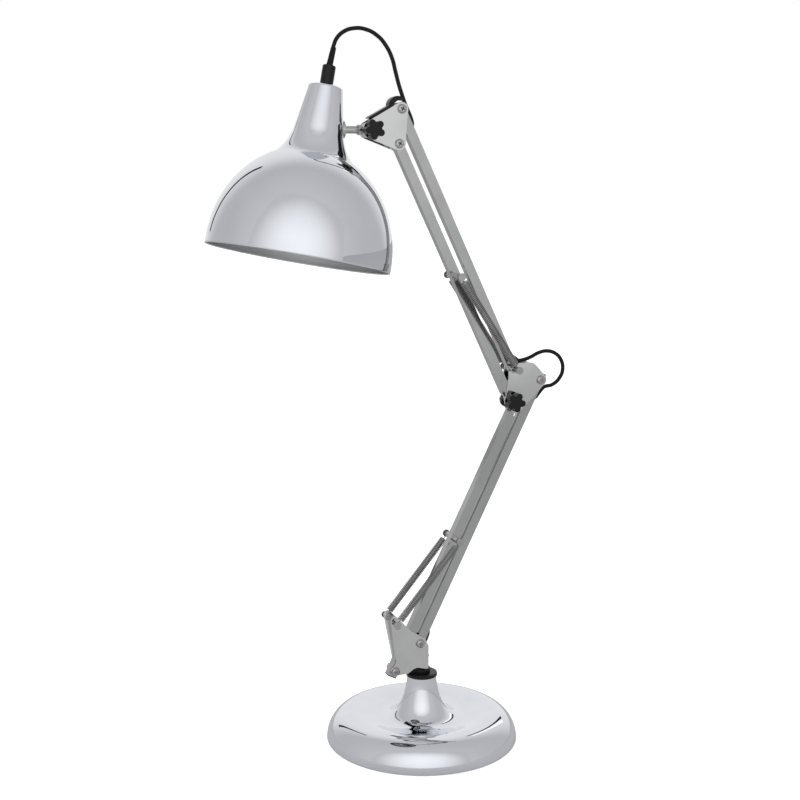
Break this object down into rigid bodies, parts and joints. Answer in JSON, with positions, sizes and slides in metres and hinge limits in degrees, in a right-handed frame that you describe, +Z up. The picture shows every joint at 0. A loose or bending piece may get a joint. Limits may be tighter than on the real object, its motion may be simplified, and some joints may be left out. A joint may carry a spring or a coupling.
{
  "type": "swing arm desk lamp",
  "caption": "Swing arm desk lamp with a domed weighted base, two spring balanced parallelogram arms and a bell shaped metal shade.",
  "frame": {"origin": "centre of the base's underside, on the table", "axes": "+Z up; the arms fold in the XZ plane, with the elbow towards +X and the shade towards -X"},
  "size_m": [0.3602, 0.1912, 0.6931],
  "materials": {
    "polished_chrome": "mirror",
    "plate_chrome": "mirror",
    "tube_chrome": "satin",
    "nickel_screw": "bright nickel",
    "spring_steel": "bright drawn wire",
    "steel": "turned",
    "cast_iron": "rough cast",
    "pad_foam": "matte",
    "black_rubber": "matte",
    "black_plastic": "satin",
    "knob_plastic": "satin moulded",
    "holder_plastic": "matte",
    "black_lead": "satin sheath"
  },
  "bodies": {
    "base": {"base_shell": "polished_chrome", "base_weight": "cast_iron", "base_pad": "pad_foam", "base_post": "steel", "lead_outlet": "black_rubber", "swivel_disc": "black_plastic"},
    "swivel": {"swivel_block": "black_plastic", "swivel_spindle": "steel", "base_plate_front": "plate_chrome", "base_plate_rear": "plate_chrome", "base_screws": "nickel_screw", "base_nuts": "nickel_screw", "base_spring_anchors": "nickel_screw", "lower_springs": "spring_steel", "base_lead": "black_lead"},
    "lower_right": {"lower_tube_right": "tube_chrome", "lower_tube_right_caps": "black_plastic"},
    "lower_left": {"lower_tube_left": "tube_chrome", "lower_tube_left_cap": "black_plastic", "lower_spring_pin": "nickel_screw"},
    "elbow": {"elbow_plate_front": "plate_chrome", "elbow_plate_rear": "plate_chrome", "elbow_screws": "nickel_screw", "elbow_nuts": "nickel_screw", "elbow_spring_pin": "nickel_screw", "elbow_bolt_nut": "nickel_screw", "upper_springs": "spring_steel", "elbow_lead_loop": "black_lead", "elbow_lead_tail": "black_lead"},
    "elbow_clamp": {"elbow_knob": "knob_plastic", "elbow_bolt": "steel"},
    "upper_right": {"upper_tube_right": "tube_chrome", "upper_tube_right_caps": "black_plastic"},
    "upper_left": {"upper_tube_left": "tube_chrome", "upper_tube_left_cap": "black_plastic", "upper_spring_pin": "nickel_screw"},
    "head_bracket": {"head_plate_front": "plate_chrome", "head_plate_rear": "plate_chrome", "head_guide": "black_plastic", "head_screws": "nickel_screw", "head_nuts": "nickel_screw", "head_bolt_nut": "nickel_screw", "head_lead_tail": "black_lead", "head_lead_loop": "black_lead"},
    "head_clamp": {"head_knob": "knob_plastic", "head_bolt": "steel"},
    "shade": {"shade_stem": "nickel_screw", "stem_flange": "nickel_screw", "stem_nut": "nickel_screw", "shade_shell": "polished_chrome", "lampholder": "holder_plastic", "lead_gland": "black_plastic", "lead_sleeve": "black_rubber"}
  },
  "joints": [
    {"name": "base_swivel", "type": "hinge", "parent": "base", "child": "swivel", "pos_m": [0, 0, 0.066], "axis": [0, 0, 1], "range_deg": [-170, 170]},
    {"name": "lower_arm_pitch", "type": "hinge", "parent": "swivel", "child": "lower_right", "pos_m": [-0.004, 0, 0.101], "axis": [0, 1, 0], "range_deg": [-60, 3], "deforming": ["base_lead"]},
    {"name": "lower_left_pitch", "type": "hinge", "parent": "swivel", "child": "lower_left", "pos_m": [-0.03, 0, 0.075], "axis": [0, 1, 0], "range_deg": [-60, 3], "deforming": ["lower_springs"]},
    {"name": "elbow_level", "type": "hinge", "parent": "lower_right", "child": "elbow", "pos_m": [0.12226, 0, 0.35873], "axis": [0, 1, 0], "range_deg": [-3, 60], "deforming": ["elbow_lead_loop"]},
    {"name": "elbow_knob_turn", "type": "hinge", "parent": "elbow", "child": "elbow_clamp", "pos_m": [0.09146, 0, 0.33903], "axis": [0, 1, 0], "range_deg": [-180, 180]},
    {"name": "upper_arm_pitch", "type": "hinge", "parent": "elbow", "child": "upper_right", "pos_m": [0.09396, 0, 0.37073], "axis": [0, 1, 0], "range_deg": [-80, 12], "deforming": ["elbow_lead_tail"]},
    {"name": "upper_left_pitch", "type": "hinge", "parent": "elbow", "child": "upper_left", "pos_m": [0.09146, 0, 0.33903], "axis": [0, 1, 0], "range_deg": [-80, 12], "deforming": ["upper_springs"]},
    {"name": "head_level", "type": "hinge", "parent": "upper_right", "child": "head_bracket", "pos_m": [-0.02335, 0, 0.61891], "axis": [0, 1, 0], "range_deg": [-12, 80], "deforming": ["head_lead_tail"]},
    {"name": "head_knob_turn", "type": "hinge", "parent": "head_bracket", "child": "head_clamp", "pos_m": [-0.05305, 0, 0.5995], "axis": [0, 1, 0], "range_deg": [-180, 180]},
    {"name": "shade_tilt", "type": "hinge", "parent": "head_bracket", "child": "shade", "pos_m": [-0.05305, 0, 0.5995], "axis": [0, 1, 0], "range_deg": [-12, 50], "deforming": ["head_lead_loop"]}
  ],
  "couplings": [
    {"joint": "lower_left_pitch", "follows": "lower_arm_pitch", "ratio": 1},
    {"joint": "elbow_level", "follows": "lower_arm_pitch", "ratio": -1},
    {"joint": "upper_left_pitch", "follows": "upper_arm_pitch", "ratio": 1},
    {"joint": "head_level", "follows": "upper_arm_pitch", "ratio": -1}
  ]
}
